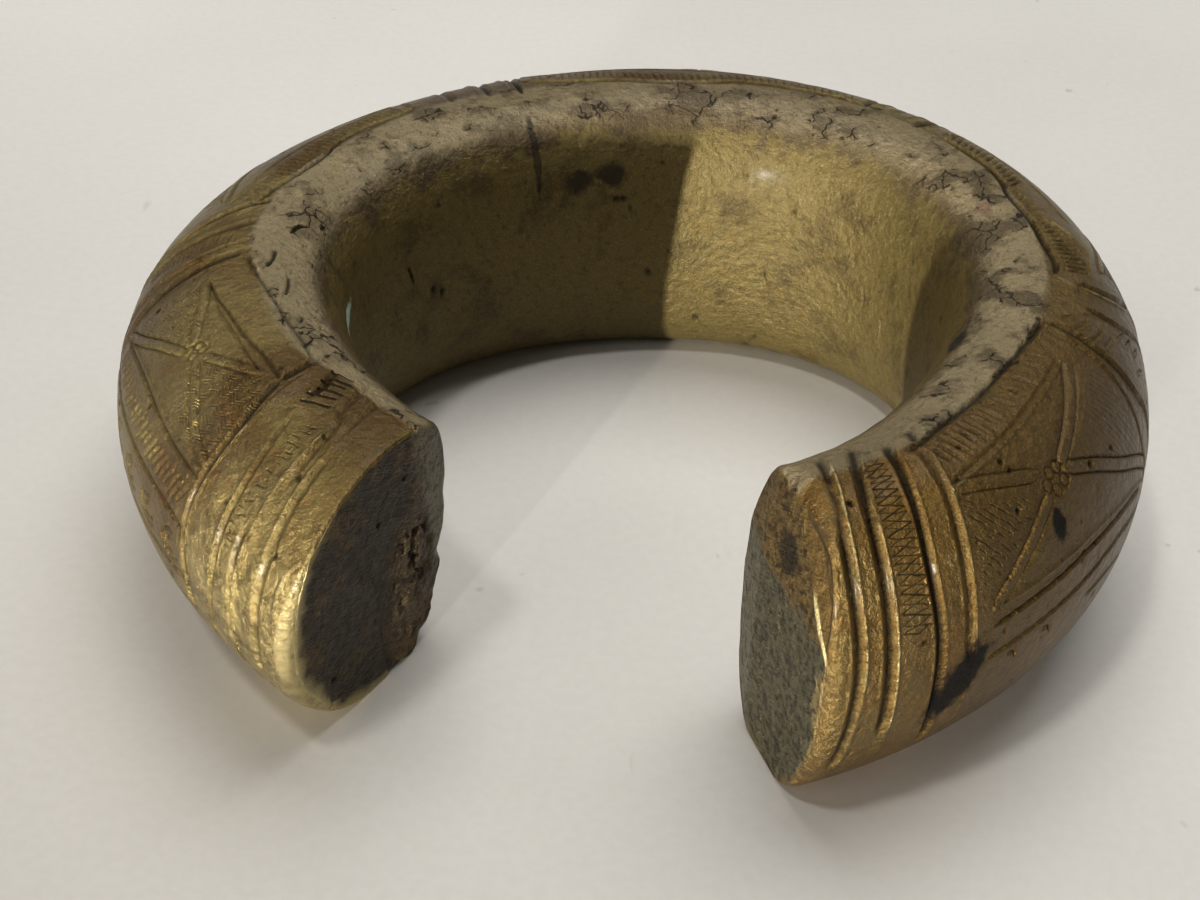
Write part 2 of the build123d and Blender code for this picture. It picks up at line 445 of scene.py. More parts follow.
def leftPanel():
    carve("cut", [(-124.2, -2.6), (-121.5, -2.2), (-117, -2.6), (-112, -2.3), (-106, -1.8), (-101, -0.8), (-97, 0.2), (-93, 1)], 0.36, 0.4)
    carve("nick", [(-118, -2.8), (-118.2, -4.2)], 0.34, 0.3, 0.5)
    carve("cut", [(-125.2, 2.3), (-122, 2.0), (-118, 2.1), (-113, 2.7), (-107, 3.3), (-103, 4.1), (-98.6, 4.7)], 0.34, 0.42)
    carve("nick", [(-122, 3.3), (-116, 3.3), (-110, 3.6), (-104, 4.4)], 0.26, 0.26)
    for line in ([(-122.2, 3.3), (-118.5, 4.9), (-113.6, 7.3)], [(-111.6, 8.7), (-107, 11.2), (-103, 13.8), (-98.8, 16.2)],
                 [(-128.6, 13.4), (-124, 12.2), (-119, 9.9), (-113.6, 8.1)], [(-110.6, 7.5), (-107, 6.6), (-103, 5.5), (-99, 5.1)]):
        carve("strap", line, 0.42, 0.26)
    rings([(-112.4, 7.0), (-111.3, 7.3), (-112.6, 8.3), (-111.2, 8.3)], 0.6)
    carve("bead", [(-128.6, 14.1), (-124, 14.1), (-119, 13.9), (-114, 13.6), (-109, 13.9), (-104, 14.7), (-98.8, 16.2)], 0.36, 0.2)
    carve("nick", [(-129, 14.9), (-121, 14.7), (-112, 14.4), (-106, 14.9), (-100, 16.3)], 0.3, 0.3)
    carve("cut", [(-129.2, 20.4), (-125, 19.9), (-118, 19.8), (-110, 19.9), (-103, 20), (-98, 19.6)], 0.34, 0.38)
    carve("cut", [(-130, 25.6), (-126, 25.8), (-120, 25.9), (-110, 25.8), (-101, 25.4)], 0.36, 0.4)
    for i in range(24):
        a = -128.2 + i * 1.15
        carve("nick", [(a, 15.9), (a + 0.55, 17.1), (a + 1.5, 18.6 + 0.3 * (i % 3))], 0.26, 0.22, 0.9)
    for a, d in ((-126.8, 23.4), (-120.6, 23.2), (-114.2, 23.0), (-107.6, 22.9)):
        for reach in (1.9, 0.9):
            arc = [(a + reach * 1.1 * math.cos(t), d + reach * 0.8 * math.sin(t)) for t in (2.6, 1.9, 1.2, 0.4, -0.4, -1.2, -1.9)]
            carve("nick", arc, 0.3, 0.24, 0.6)


def comb(first, last, step, low, high, lean, wide=0.34, deep=0.32):
    a = first
    while a <= last:
        carve("nick", [(a, low(a)), (a + lean * 0.5, (low(a) + high(a)) / 2), (a + lean, high(a))], wide, deep, 1.4)
        a += step


def along(points):  # the drop of a border line at any place round the ring
    places = [a for a, d in points]
    drops = [d for a, d in points]
    return lambda a: float(np.interp(a, places, drops))


# Where the photograph shows only a panel's upper edge: left, right, top and bottom on the chart
crossPanels = [(-78.0, -45.0, 7.0, 19.0), (-24.0, 2.5, 6.6, 19.0), (3.5, 29.5, 6.6, 19.0), (47.0, 80.0, 8.4, 20.0)]


def crossPanel(left, right, top, bottom):  # the same cross and border as in the panels by the tips
    middle, level = (left + right) / 2, (top + bottom) / 2
    for line in ([(left, top), (middle - 1.6, level - 1)], [(middle + 1.6, level + 1), (right, bottom)],
                 [(left, bottom), (middle - 1.6, level + 1)], [(middle + 1.6, level - 1), (right, top)]):
        carve("strap", line, 0.46, 0.24)
    rings([(middle - 1.0, level - 0.9), (middle + 1.0, level - 0.9), (middle + 1.4, level + 0.7), (middle, level + 1.5), (middle - 1.4, level + 0.7)], 0.66)
    carve("bead", [(left, bottom + 0.5), (middle, bottom - 0.2), (right, bottom + 0.5)], 0.38, 0.2)
    carve("nick", [(left, bottom + 1.2), (middle, bottom + 0.6), (right, bottom + 1.2)], 0.3, 0.32)
    carve("cut", [(left - 0.5, bottom + 5.4), (middle, bottom + 5.1), (right + 0.5, bottom + 5.4)], 0.36, 0.4)
    carve("cut", [(left - 0.5, bottom + 10), (middle, bottom + 9.8), (right + 0.5, bottom + 10)], 0.36, 0.4)
    comb(left + 0.5, right - 1.5, 1.15, lambda a: bottom + 1.8, lambda a: bottom + 4.4, 1.1, 0.28, 0.24)
    dice = random.Random(int(left * 10))
    half = (right - left) / 2
    step = 0
    while step < half - 3:
        reach = (1 - (step + 1) / half) * (bottom - top) * 0.43
        for side in (-1, 1):
            a = middle + side * (half - 1 - step)
            carve("nick", [(a, level - reach), (a + dice.uniform(-0.2, 0.2), level), (a, level + reach)], 0.24, 0.18, 1.0)
        step += 1.2


def band(points):  # one turned line of a collar, run on down the unseen side
    a, d = points[0]
    lower = [(a - (points[1][0] - a) * 0.3, d + 8), (a, d + 16), (a + 0.3, max(d + 22, 36))]
    return lower[::-1] + points


def backCollars():
    for line, wide, deep in (([(-97.6, 14), (-96.8, 10), (-95.2, 6), (-93.6, 3), (-92, 0.5)], 0.9, 0.42),
                             ([(-93.9, 12), (-93.2, 8), (-92, 4.8), (-90.8, 2.8), (-89.5, 0.8)], 0.42, 0.5),
                             ([(-88.8, 12), (-88.2, 8), (-87, 5), (-85.4, 2.4), (-84, 0.6)], 0.7, 0.42),
                             ([(-86, 13), (-84.9, 9.4), (-83.3, 6.8), (-81.3, 4.3), (-79.6, 2.4), (-78.2, 0.4)], 0.62, 0.66),
                             ([(-43.0, 9), (-43.4, 6), (-43.9, 3.4)], 0.4, 0.3),
                             ([(-36.6, 9), (-36.8, 6), (-37.4, 3.2), (-38, 1)], 0.7, 0.4),
                             ([(-30.4, 9), (-30.8, 6), (-31.2, 3.4), (-31.8, 0.4)], 0.6, 0.56),
                             ([(-25.6, 9), (-25.8, 6), (-26.1, 3.4), (-26.5, -0.3)], 0.5, 0.56),
                             ([(30.8, 9), (30.6, 5.5), (30.4, 2.6), (30.6, 0.4)], 0.6, 0.46),
                             ([(35.4, 8), (35, 4.6), (34.6, 1)], 0.5, 0.34),
                             ([(40.4, 9), (40.3, 5.5), (40.1, 3), (39.8, 0)], 0.66, 0.62),
                             ([(45.6, 8), (45, 4.6), (44.1, 1.4)], 0.4, 0.34),
                             ([(81.4, 14.4), (83.5, 11.8), (85.5, 8.6), (86.4, 6), (86.4, 4)], 0.56, 0.48),
                             ([(87.2, 15.5), (89, 12.6), (90.6, 10), (91.4, 7.4), (91.7, 5)], 0.44, 0.4),
                             ([(96.6, 18), (98, 15), (98.6, 12), (98.9, 9), (98.8, 6), (98.2, 3), (97.6, 0.8)], 0.6, 0.42),
                             ([(101.2, 12), (100.9, 9), (100.8, 6), (100.5, 3)], 0.34, 0.3)):
        carve("cut", band(line), wide, deep)
    for line in ([(-94.9, 14), (-94.3, 10), (-93.1, 6.4), (-91.5, 3.4), (-90.1, 1.2)], [(-87.2, 13), (-86.3, 9.4), (-84.8, 6.6), (-82.5, 3.8), (-80.4, 1.8)],
                 [(-32.2, 8), (-32.6, 4), (-33.2, 1)], [(-27.6, 8), (-27.9, 4), (-28.2, 1)], [(32.6, 8), (32.2, 4), (32, 1)], [(38, 8), (37.6, 4), (37.4, 1)],
                 [(82.6, 14.2), (84.8, 11.8), (86.6, 8.6), (87.4, 6), (87.3, 3.8), (86.5, 2), (85.5, 0.8)]):
        carve("bead", band(line), 0.5, 0.22)
    for start, end in (((94.2, 4.3), (96.2, 3)), ((94.2, 6.2), (98, 4.6)), ((94.3, 8.2), (98.2, 7.1)), ((94, 9.6), (97.6, 8.8)),
                       ((90.4, 11.6), (93.6, 10.2)), ((90.4, 12.8), (93.2, 11.8)), ((89.8, 14.6), (92.6, 13.4)), ((92, 16), (94.6, 14.6))):
        carve("bead", [start, end], 0.26, 0.18, 0.6)
        carve("nick", shifted([start, end], 0, -0.5), 0.24, 0.2, 0.6)
    for i in range(16):
        drop = 2.6 + i * 0.72
        a = -92.0 + 0.28 * max(0, 8 - drop)
        carve("nick", [(a, drop), (a + 3.0, drop - 0.3)], 0.24, 0.22, 0.6)


def backPanels():
    leftBorder = [(-79, 2.2), (-76, 1.8), (-72, 1.1), (-68, 0.75), (-64, 0.8), (-61, 1.4), (-57, 2.0), (-52, 2.4), (-48, 2.3), (-43.6, 3.0)]
    carve("cut", leftBorder, 0.42, 0.5)
    edge = along(leftBorder)
    comb(-78.6, -71, 0.95, lambda a: edge(a) + 0.8, lambda a: edge(a) + 3.0, 0.5, 0.26, 0.26)
    comb(-70.6, -45, 1.08, lambda a: edge(a) + 0.6, lambda a: edge(a) + 3.2, -0.2, 0.34, 0.38)
    carve("nick", [(-80, 5.6), (-70, 5.2), (-60, 5.4), (-44, 6.2)], 0.28, 0.24)
    backBorder = [(-25, 3), (-22, 2.2), (-18, 1.3), (-14, 0.6), (-8, 0.1), (-4, -0.5), (0, -0.7), (4, -0.5), (9, 0.3), (14, 0.8), (20, 0.9), (25, 1.1), (30.4, 1.0)]
    carve("cut", backBorder, 0.46, 0.54)
    edge = along(backBorder)
    comb(-23, -9, 1.1, lambda a: edge(a) + 0.7, lambda a: edge(a) + 3.4, 0.3, 0.3, 0.3)
    comb(-8, 29, 1.2, lambda a: edge(a) + 0.6, lambda a: edge(a) + 2.6, -0.9, 0.32, 0.32)
    carve("nick", [(-25, 6.4), (-12, 4.6), (2, 4.0), (16, 4.4), (30, 5.2)], 0.28, 0.24)
    rightBorder = [(45, 0.6), (50, 0.4), (55, 0.5), (59.5, 0.1), (63, -0.6), (68, -0.3), (72, 0.1), (76, 0.4), (80, 1.0), (83, 1.5), (85.4, 1.2)]
    carve("cut", rightBorder, 0.44, 0.52)
    edge = along(rightBorder)
    comb(46, 61, 1.25, lambda a: edge(a) + 0.7, lambda a: edge(a) + 3.8, -1.4, 0.36, 0.36)
    comb(63, 70, 1.1, lambda a: edge(a) + 0.8, lambda a: edge(a) + 2.0, -0.8, 0.36, 0.34)
    comb(71, 84, 1.08, lambda a: edge(a) + 1.0, lambda a: edge(a) + 1.6 + min(3.2, (a - 70) * 0.4), -1.2, 0.38, 0.42)
    carve("bead", [(70.4, 2.0), (72.6, 4.0), (74.8, 6.1), (77, 6.9), (80, 6.5), (84.2, 6.2)], 0.44, 0.3)
    carve("nick", [(46, 5.6), (56, 5.2), (66, 5.4), (70, 6.4)], 0.28, 0.24)
    for panel in crossPanels:
        crossPanel(*panel)


def oldMarks():  # slits in the bore, and cracks and dents in the plain land
    for line in ([(-57, -24.2), (-54, -25), (-51, -25.8)], [(44.6, -24.6), (45.4, -25.6)], [(50.4, -26.6), (51.8, -27.4)],
                 [(26.6, -19.7), (27.4, -20.4)], [(21.4, -26.1), (22.6, -26.9)], [(-62, -21), (-60.5, -23)],
                 [(-104, -3.3), (-101, -4.1), (-98, -4.4)], [(-96.5, -1.4), (-94, -2.2), (-91.4, -2.4)],
                 [(-86, -3.8), (-83.6, -4.6), (-82.4, -6)], [(-112, -3.6), (-109.6, -4.8)]):
        carve("nick", line, 0.34, 0.5, 0.5)
    dice = random.Random(12)
    for i in range(70):
        a = dice.uniform(-128, -30) if i % 3 else dice.uniform(-30, 110)
        d = dice.uniform(-10.5, -1.0)
        turned = dice.uniform(-0.9, 0.9)
        long = dice.uniform(0.5, 1.7)
        carve("nick", [(a, d), (a + long * 0.5, d + turned * 0.4), (a + long, d + turned)], dice.uniform(0.12, 0.24),
              dice.uniform(0.1, 0.38), 0.5)


for lay in (rightCollar, leftCollar, rightPanel, leftPanel, backCollars, backPanels, oldMarks):
    lay()
print("carving laid out:", {tool: len(lines) for tool, lines in carving.items()}, "lines")


def eased(points, step=0.35):  # a soft curve through the points, cut into short even steps
    path = np.array(points, float)
    if len(path) > 2:
        padded = np.vstack([2 * path[0] - path[1], path, 2 * path[-1] - path[-2]])
        rows = []
        for i in range(len(path) - 1):
            a, b, c, d = padded[i:i + 4]
            for t in np.linspace(0, 1, 12, endpoint=False):
                rows.append(0.5 * (2 * b + (c - a) * t + (2 * a - 5 * b + 4 * c - d) * t * t + (3 * b - a - 3 * c + d) * t ** 3))
        path = np.vstack([rows, path[-1]])
    run = np.concatenate([[0], np.cumsum(np.hypot(*np.diff(path, axis=0).T))])
    wanted = np.linspace(0, run[-1], max(3, int(run[-1] / step) + 1))
    return np.stack([np.interp(wanted, run, path[:, 0]), np.interp(wanted, run, path[:, 1])], 1), wanted


def carvingLines(tool):  # every line of one tool as edges on the chart, with its width and depth at each point
    spots, edges, wide, deep = [], [], [], []
    dice = random.Random(len(tool))
    for points, width, depth, taper in carving[tool]:
        path, run = eased(points)
        first = len(spots)
        strength = dice.uniform(0.8, 1.15)
        for (a, d), at in zip(path, run):
            fade = 1.0 if taper == 0 else min(1.0, 0.25 + 0.75 * min(at, run[-1] - at) / taper)
            wobble = dice.uniform(0.95, 1.05)
            spots.append((a, d, 0.0))
            wide.append(width * (0.45 + 0.55 * fade))
            deep.append(depth * fade * strength * wobble)
        edges += [(first + i, first + i + 1) for i in range(len(path) - 1)]
    mesh = bpy.data.meshes.new(tool + "Lines")
    mesh.from_pydata(spots, edges, [])
    for name, values in (("wide", wide), ("deep", deep)):
        mesh.attributes.new(name, "FLOAT", "POINT").data.foreach_set("value", values)
    return keep(bpy.data.objects.new(tool + "Lines", mesh))


# The ring, by Geometry Nodes
wear = {
    "rimRadius": 0.5,
    "wave": 0.2,  # slow unevenness of the casting
    "dents": 0.22,  # on the plain land and the bore's upper edge
    "broken": 0.55,  # rough part of the left cut face
    "pitsDensity": 0.03,  # per square millimetre
    "pitDepth": 0.4,
}


# Where the plain land ends and the carving starts: share of the way round, and the drop as a share of -10 to 10
landEdge = [(0, 0.32), (0.06, 0.3), (0.1, 0.44), (0.17, 0.5), (0.2, 0.55), (0.3, 0.57), (0.37, 0.6), (0.45, 0.52),
            (0.5, 0.5), (0.6, 0.53), (0.7, 0.5), (0.8, 0.53), (0.85, 0.5), (0.95, 0.46), (1, 0.4)]


def ringTree():
    tree = bpy.data.node_groups.new("manillaRing", "GeometryNodeTree")
    tree.is_modifier = True
    sizes = (("Columns", "NodeSocketInt", ring["columns"]), ("Rows", "NodeSocketInt", ring["rows"]),
             ("Rim Columns", "NodeSocketInt", ring["rimColumns"]), ("Cap Columns", "NodeSocketInt", ring["capColumns"]),
             ("Rim Radius", "NodeSocketFloat", wear["rimRadius"]), ("Wave", "NodeSocketFloat", wear["wave"]),
             ("Cut Lines", "NodeSocketObject", None), ("Bead Lines", "NodeSocketObject", None),
             ("Nick Lines", "NodeSocketObject", None), ("Strap Lines", "NodeSocketObject", None),
             ("Brass", "NodeSocketMaterial", None))
    for name, kind, value in sizes:
        socket = tree.interface.new_socket(name, in_out="INPUT", socket_type=kind)
        if value is not None:
            socket.default_value = value
    tree.interface.new_socket("Geometry", in_out="OUTPUT", socket_type="NodeSocketGeometry")
    net = Net(tree)
    given = net.add("NodeGroupInput", out=None)
    give = {name: Wire(net, given.outputs[name]) for name, kind, value in sizes}
    skin = skinGroup()

    def onSkin(degrees, drop):
        node = net.add("GeometryNodeGroup", {"node_tree": skin}, {0: degrees, 1: drop}, out=None)
        return [Wire(net, socket) for socket in node.outputs]

    # the bare grid: columns run along the ring from the middle of one cut face to the other
    rimColumns, capColumns = give["Rim Columns"], give["Cap Columns"]
    edgeColumns = rimColumns + capColumns
    grid = net.add("GeometryNodeMeshGrid", None, {"Size X": 1.0, "Size Y": 1.0, "Vertices X": give["Columns"] + edgeColumns * 2,
                                                  "Vertices Y": give["Rows"]})
    gridX, gridY, gridZ = net.parts(net.add("GeometryNodeInputPosition"))
    column = (gridX + 0.5) * (give["Columns"] + edgeColumns * 2 - 1)
    fromEnd = give["Columns"] + edgeColumns * 2 - 1 - column
    # rows stand closer together where the carving is
    drop = net.add("ShaderNodeFloatCurve", {"points": [(0, 0), (0.17, 0.40), (0.25, 0.47), (0.85, 0.87), (1, 1)]},
                   {"Value": gridY + 0.5}) * 100 - 50

    uneven = net.noise(net.vector(drop * 0.16, column.over(700) * 9.0, 0.0), 1.0, 3.0, 0.6)
    nibbled = net.noise(net.vector(drop * 0.3, 4.0, 0.0), 1.0, 4.0, 0.7)
    outerWear = drop.ramp(12.0, 25.0) * drop.ramp(42.0, 36.0) * 1.2

    def tipParts(name, steps):
        tip = tips[name]
        cap = (steps / capColumns).least(1.0)
        rim = ((steps - capColumns) / rimColumns).most(0.0).least(1.0) * (math.pi / 2)
        if name == "left":
            special = drop.ramp(-20.0, -26.0) * nibbled.ramp(0.44, 0.64) * 1.6
        else:
            special = drop.ramp(11.0, 3.0) * drop.ramp(-10.0, -2.0) * 1.8
        round = give["Rim Radius"] * (uneven * 1.2 + 0.2) + outerWear + special
        radius, level, midRadius, midLevel = onSkin(tip["degrees"], drop)
        at = tipCut(net, tip, radius, level) - round / radius * (tip["side"] * 180 / math.pi)
        return {"tip": tip, "cap": cap, "rim": rim, "round": round, "wallEnd": at}

    left, right = tipParts("left", column), tipParts("right", fromEnd)
    wall = ((column - edgeColumns) / (give["Columns"] - 1)).most(0.0).least(1.0)
    degrees = left["wallEnd"] + (right["wallEnd"] - left["wallEnd"]) * wall
    radius, level, midRadius, midLevel = onSkin(degrees, drop)
    inset = left["round"] * (1 - left["rim"].sine()) + right["round"] * (1 - right["rim"].sine())
    outR, outL = radius - midRadius, level - midLevel
    reach = (outR * outR + outL * outL).root()
    shrink = (1 - inset / reach) * left["cap"] * right["cap"]
    radius, level = midRadius + outR * shrink, midLevel + outL * shrink
    for end, steps in ((left, column), (right, fromEnd)):
        near = steps.under(edgeColumns - 0.5)
        back = end["round"] * (1 - end["rim"].cosine())
        edge = tipCut(net, end["tip"], radius, level) - back / radius * (end["tip"]["side"] * 180 / math.pi)
        degrees = degrees + (edge - degrees) * near
    onFace = column.least(fromEnd).under(capColumns + 0.5)
    onRim = abs(column.least(fromEnd) - capColumns - rimColumns * 0.5).ramp(rimColumns * 0.9, rimColumns * 0.3)
    lowest = level.most(0.0)
    shaped = grid
    for name, kind, value in (("chart", "FLOAT_VECTOR", net.vector(degrees, drop, onRim)), ("tipFace", "FLOAT", onFace),
                              ("faceSpot", "FLOAT_VECTOR", net.vector(radius - midRadius, level - midLevel, column.over(fromEnd)))):
        shaped = net.add("GeometryNodeStoreNamedAttribute", {"data_type": kind, "domain": "POINT"},
                         {"Geometry": shaped, "Name": name, "Value": value})
    shaped = net.add("GeometryNodeSetPosition", None, {"Geometry": shaped, "Position": placed(net, degrees, radius, lowest)})
    shaped = net.add("GeometryNodeMergeByDistance", None, {"Geometry": shaped, "Distance": 0.00001})

    # carving lines wrapped on the skin, and how far each point of the ring is from them
    position = net.add("GeometryNodeInputPosition")

    def wrapped(thing):
        lines = net.add("GeometryNodeObjectInfo", {"transform_space": "ORIGINAL"}, {"Object": thing}, out=4)
        a, d, z = net.parts(net.add("GeometryNodeInputPosition"))
        lineRadius, lineLevel, middleR, middleL = onSkin(a, d)
        return net.add("GeometryNodeSetPosition", None, {"Geometry": lines, "Position": placed(net, a, lineRadius, lineLevel)})

    def toolMark(thing):
        lines = wrapped(thing)
        distance = net.add("GeometryNodeProximity", {"target_element": "EDGES"}, {0: lines, 2: position}, out=1) / mm
        index = net.add("GeometryNodeSampleNearest", {"domain": "POINT"}, {"Geometry": lines, "Sample Position": position})

        def carried(name):
            value = net.add("GeometryNodeInputNamedAttribute", {"data_type": "FLOAT"}, {"Name": name})
            return net.add("GeometryNodeSampleIndex", {"data_type": "FLOAT", "domain": "POINT"},
                           {"Geometry": lines, "Value": value, "Index": index})
        wide = carried("wide").most(0.05)
        return distance / wide, carried("deep")

    cutAway, cutDeep = toolMark(give["Cut Lines"])
    beadAway, beadTall = toolMark(give["Bead Lines"])
    nickAway, nickDeep = toolMark(give["Nick Lines"])
    strapAway, strapDeep = toolMark(give["Strap Lines"])

    def stored(name, kind):
        return net.add("GeometryNodeInputNamedAttribute", {"data_type": kind}, {"Name": name})

    turn, fall, unused = net.parts(stored("chart", "FLOAT_VECTOR"))
    across, tall, rightSide = net.parts(stored("faceSpot", "FLOAT_VECTOR"))
    onCut = stored("tipFace", "FLOAT")
    offFace = 1 - onCut
    cut = (cutAway.ramp(1.0, 0.0, smooth=False) * 0.8 + cutAway.ramp(2.6, 0.6) * 0.14) * cutDeep
    cutBurr = abs(cutAway - 1.25).ramp(0.4, 0.0) * cutDeep * 0.2
    bead = (beadAway * 1.8).ramp(1.0, 0.1, smooth=False) * beadTall * 0.7
    nick = nickAway.ramp(1.0, 0.0, smooth=False) * nickDeep
    nickBurr = abs(nickAway - 1.4).ramp(0.5, 0.0) * nickDeep * 0.15
    strap = strapAway.ramp(1.15, 0.85) * 0.1
    strapEdge = abs(strapAway - 1.4).ramp(0.42, 0.0, smooth=False) * strapDeep

    # pits, scattered with a fixed seed
    millimetres = net.scaled(position, 1000.0)
    seeds = net.add("GeometryNodeDistributePointsOnFaces", {"distribute_method": "RANDOM"},
                    {"Mesh": shaped, "Density": wear["pitsDensity"] * 1e6, "Seed": ring["seed"]})
    pitAway = net.add("GeometryNodeProximity", {"target_element": "POINTS"}, {0: seeds, 2: position}, out=1) / mm
    pitSize = net.noise(millimetres, 0.45, 1.0).ramp(0.45, 0.75, 0.1, 0.7)
    pit = (pitAway / pitSize).ramp(1.0, 0.2) * wear["pitDepth"] * pitSize

    # plain land along the top, the bore, and the broken inner part of the left cut face
    border = net.add("ShaderNodeFloatCurve", {"points": landEdge}, {"Value": (turn + 150) / 306}) * 20 - 10
    land = (border - fall).ramp(-0.3, 0.6) * (fall + 10).ramp(-2.5, 2.5)
    inner = (fall + 9).ramp(2.5, -2.5)
    facet = (across + 9.6 - tall * 0.3).ramp(0.3, -0.3) * tall.ramp(-8.0, -5.0)
    ragged = net.noise(millimetres, 0.5, 3.0, 0.6)
    broken = onCut * (1 - rightSide) * (1 - facet) * (across + (ragged - 0.5) * 5).ramp(-2.5, -4.5) * tall.ramp(5.5, 2.0)
    torn = onCut * rightSide * across.ramp(-5.6, -6.4)
    wave = net.noise(millimetres, 0.055, 2.0, 0.5) - 0.5
    dent = net.noise(millimetres, 0.2, 1.5, 0.5) - 0.5
    crust = abs(net.noise(millimetres, 0.42, 3.0, 0.65) - 0.5)
    height = wave * give["Wave"] * 2 + dent * (land + inner * 0.6 + onCut * 0.3) * wear["dents"] * 2 - pit
    height = height + (bead + strap + cutBurr + nickBurr - cut - nick - strapEdge) * offFace
    gouge = ragged.ramp(0.53, 0.62) * broken * across.ramp(-11.0, -8.5) * abs(tall + 2.5).ramp(6.0, 3.0)
    height = height + (crust - 0.1) * (broken + torn * 0.4) * wear["broken"] * 3 - gouge * 0.7
    normal = net.add("GeometryNodeInputNormal")
    relief = net.vector((cut + nick * 1.3 + strapEdge * 1.4).least(0.6) / 0.6 * offFace,
                        (bead + cutBurr + nickBurr + strap * 0.6).least(0.3) / 0.3 * offFace, (pit / 0.2 + gouge).least(1.0))
    for name, value in (("zones", net.vector(land * offFace, inner * offFace, onCut)), ("relief", relief),
                        ("breaks", net.vector(broken, torn, facet * onCut * (1 - rightSide)))):
        shaped = net.add("GeometryNodeStoreNamedAttribute", {"data_type": "FLOAT_VECTOR", "domain": "POINT"},
                         {"Geometry": shaped, "Name": name, "Value": value})
    lifted = net.add("GeometryNodeSetPosition", None, {"Geometry": shaped, "Offset": net.scaled(normal, height * mm)})
    x, y, z = net.parts(net.add("GeometryNodeInputPosition"))
    lifted = net.add("GeometryNodeSetPosition", None, {"Geometry": lifted, "Position": net.vector(x, y, z.most(0.0))})
    smooth = net.add("GeometryNodeSetShadeSmooth", None, {"Geometry": lifted})
    real = net.add("GeometryNodeRealizeInstances", None, {"Geometry": smooth})
    done = net.add("GeometryNodeSetMaterial", None, {"Geometry": real, "Material": give["Brass"]})
    end = net.add("NodeGroupOutput", out=None)
    net.feed(end.inputs[0], done)
    return tree


def makeRing(brass):
    shell = keep(bpy.data.objects.new("ringShell", bpy.data.meshes.new("ringShell")))
    modifier = shell.modifiers.new("manillaRing", "NODES")
    modifier.node_group = ringTree()
    given = {"Cut Lines": carvingLines("cut"), "Bead Lines": carvingLines("bead"), "Nick Lines": carvingLines("nick"),
             "Strap Lines": carvingLines("strap"), "Brass": brass}
    for item in modifier.node_group.interface.items_tree:
        if item.in_out == "INPUT" and item.name in given:
            modifier[item.identifier] = given[item.name]
    mesh = plainMesh(shell, "carvedRing")
    print("ring built:", len(mesh.polygons), "faces")
    for name in ("Cut Lines", "Bead Lines", "Nick Lines", "Strap Lines"):
        bpy.data.objects.remove(given[name])
    bpy.data.objects.remove(shell)
    full = keep(bpy.data.objects.new("carvedRing", mesh))
    thin = full.modifiers.new("thin", "DECIMATE")
    triangles = sum(len(p.vertices) - 2 for p in mesh.polygons)
    thin.ratio = min(1.0, ring["triangles"] / triangles)
    mesh = plainMesh(full, "manillaRing")
    bpy.data.objects.remove(full)
    piece = keep(bpy.data.objects.new("manillaRing", mesh))
    print("ring thinned:", len(mesh.polygons), "faces")
    return piece


# Aged brass
brassLook = {
    "bright": paint(200, 184, 130),
    "gold": paint(172, 152, 98),
    "olive": paint(112, 96, 56),
    "brown": paint(84, 65, 34),
    "rust": paint(100, 66, 31),
    "amber": paint(108, 81, 38),
    "umber": paint(84, 63, 29),
    "land": paint(146, 131, 99),
    "landDark": paint(66, 53, 34),
    "bore": paint(94, 80, 42),
    "boreDark": paint(58, 45, 20),
    "ochre": paint(108, 80, 28),
    "dirt": paint(24, 19, 11),
    "leftFace": paint(46, 38, 27),
    "rightFace": paint(84, 78, 56),
    "facetGrey": paint(104, 97, 76),
    "facePatina": paint(110, 86, 44),
    "crescent": paint(142, 124, 80),
    "file": paint(122, 116, 96),
    "verdigris": paint(150, 176, 166),
    "stainAndNotchShade": paint(14, 14, 15),
    "red": paint(104, 52, 46),
}


